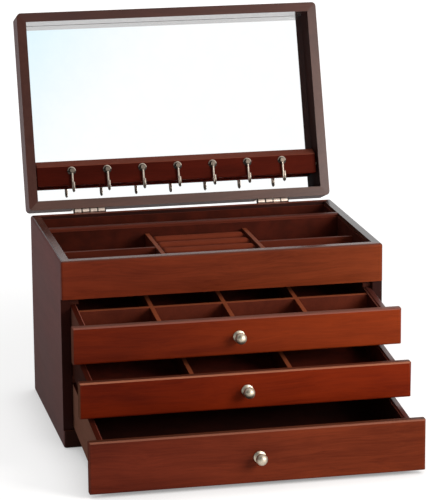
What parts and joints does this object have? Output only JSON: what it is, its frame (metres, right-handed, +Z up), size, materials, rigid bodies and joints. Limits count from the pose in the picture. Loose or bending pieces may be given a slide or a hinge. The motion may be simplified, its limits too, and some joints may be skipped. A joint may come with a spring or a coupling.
{
  "type": "jewellery box with mirror lid",
  "caption": "Wooden vanity and jewellery box with sliding drawers, a divided ring tray and a hinged mirror lid that carries a bar of necklace hooks.",
  "frame": {"origin": "centre of the case's underside, on the surface that it stands on", "axes": "+Z up, +X to the right as the user faces the drawers, -Y towards the user"},
  "size_m": [0.33, 0.4913, 0.3988],
  "materials": {
    "wood": "stained reddish brown, satin lacquer",
    "velvet": "brown velvet-covered card and padding",
    "nickel": "satin nickel",
    "mirror": "silvered glass"
  },
  "bodies": {
    "case": {"base_rail": "wood", "case_back": "wood", "case_bottom": "wood", "case_side_left": "wood", "case_side_right": "wood", "drawer_kickers": "wood", "drawer_runners": "wood", "front_band": "wood", "hinge_case_leaves": "nickel", "hinge_pins": "nickel", "ring_rolls": "velvet", "tray_dividers": "wood", "tray_floor": "wood", "tray_lining": "velvet", "tray_partitions": "wood", "trough_board": "wood"},
    "drawer_1": {"drawer_1_back": "wood", "drawer_1_bottom": "wood", "drawer_1_front": "wood", "drawer_1_knob": "nickel", "drawer_1_lining": "velvet", "drawer_1_partitions": "wood", "drawer_1_side_left": "wood", "drawer_1_side_right": "wood"},
    "drawer_2": {"drawer_2_back": "wood", "drawer_2_bottom": "wood", "drawer_2_front": "wood", "drawer_2_knob": "nickel", "drawer_2_lining": "velvet", "drawer_2_partitions": "wood", "drawer_2_side_left": "wood", "drawer_2_side_right": "wood"},
    "drawer_3": {"drawer_3_back": "wood", "drawer_3_bottom": "wood", "drawer_3_front": "wood", "drawer_3_knob": "nickel", "drawer_3_lining": "velvet", "drawer_3_side_left": "wood", "drawer_3_side_right": "wood"},
    "lid": {"hinge_lid_leaves": "nickel", "hook_bar": "wood", "hook_bar_pins": "nickel", "lid_back_rail": "wood", "lid_front_rail": "wood", "lid_left_rail": "wood", "lid_panel": "wood", "lid_right_rail": "wood", "mirror": "mirror", "necklace_hooks": "nickel"}
  },
  "joints": [
    {"name": "drawer_1_slide", "type": "slide", "parent": "case", "child": "drawer_1", "axis": [0, -0.9954, -0.0958], "range_m": [-0.0654, 0.10036]},
    {"name": "drawer_2_slide", "type": "slide", "parent": "case", "child": "drawer_2", "axis": [0, -0.9954, -0.0958], "range_m": [-0.10187, 0.06389]},
    {"name": "drawer_3_slide", "type": "slide", "parent": "case", "child": "drawer_3", "axis": [0, -0.9954, -0.0958], "range_m": [-0.15511, 0.01065]},
    {"name": "lid_hinge", "type": "hinge", "parent": "case", "child": "lid", "pos_m": [0, 0.1098, 0.1934], "axis": [1, 0, 0], "range_deg": [0, 108.3]}
  ]
}
